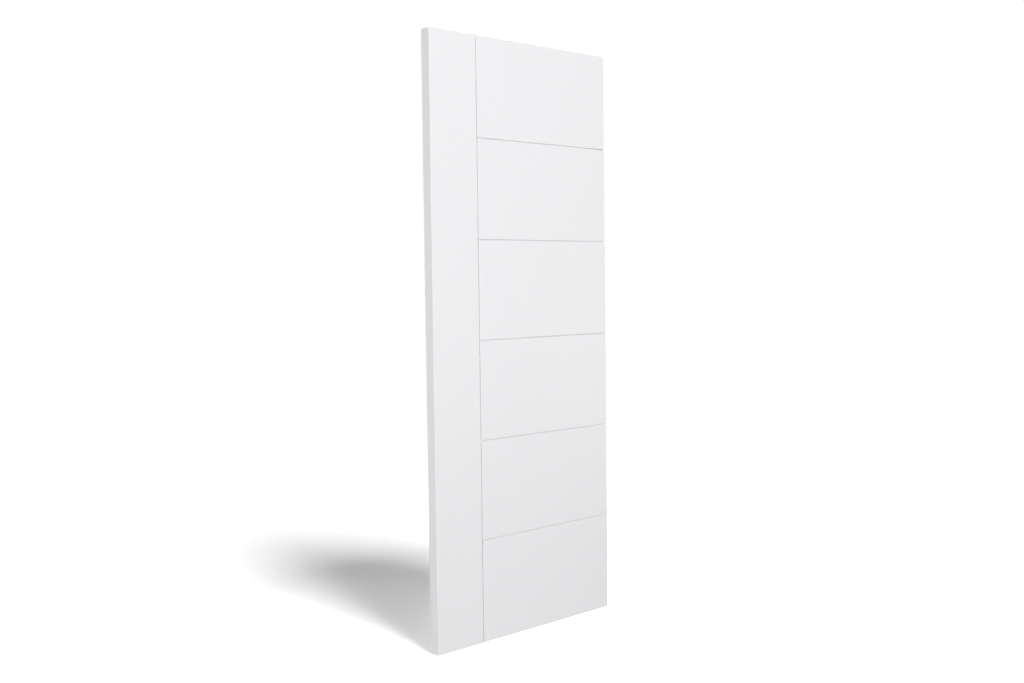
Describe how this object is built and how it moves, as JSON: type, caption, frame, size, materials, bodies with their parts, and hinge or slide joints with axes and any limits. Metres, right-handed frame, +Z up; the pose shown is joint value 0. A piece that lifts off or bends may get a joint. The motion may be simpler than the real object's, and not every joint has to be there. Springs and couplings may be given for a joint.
{
  "type": "interior door",
  "caption": "Plain white interior door leaf with an upright groove and level grooves routed in both faces, built of facing sheets, a timber frame, a solid core and edge strips.",
  "frame": {"origin": "on the hinge edge, at mid-thickness, at the leaf's foot", "axes": "+X out of the hinge edge, along the width; +Y through the thickness, from the front face to the back face; +Z up"},
  "size_m": [0.826, 0.04, 2.04],
  "materials": {
    "face_paint": "satin white paint, rolled, on fibreboard sheet",
    "edge_paint": "satin white paint, brushed, on hardwood strip",
    "primed_timber": "thin matt white primer over sawn softwood",
    "core_board": "raw particleboard"
  },
  "bodies": {
    "root": {"front_facing": "face_paint", "back_facing": "face_paint", "hinge_lipping": "edge_paint", "lock_lipping": "edge_paint", "hinge_stile": "primed_timber", "lock_stile": "primed_timber", "top_rail": "primed_timber", "bottom_rail": "primed_timber", "core": "core_board"}
  },
  "joints": []
}
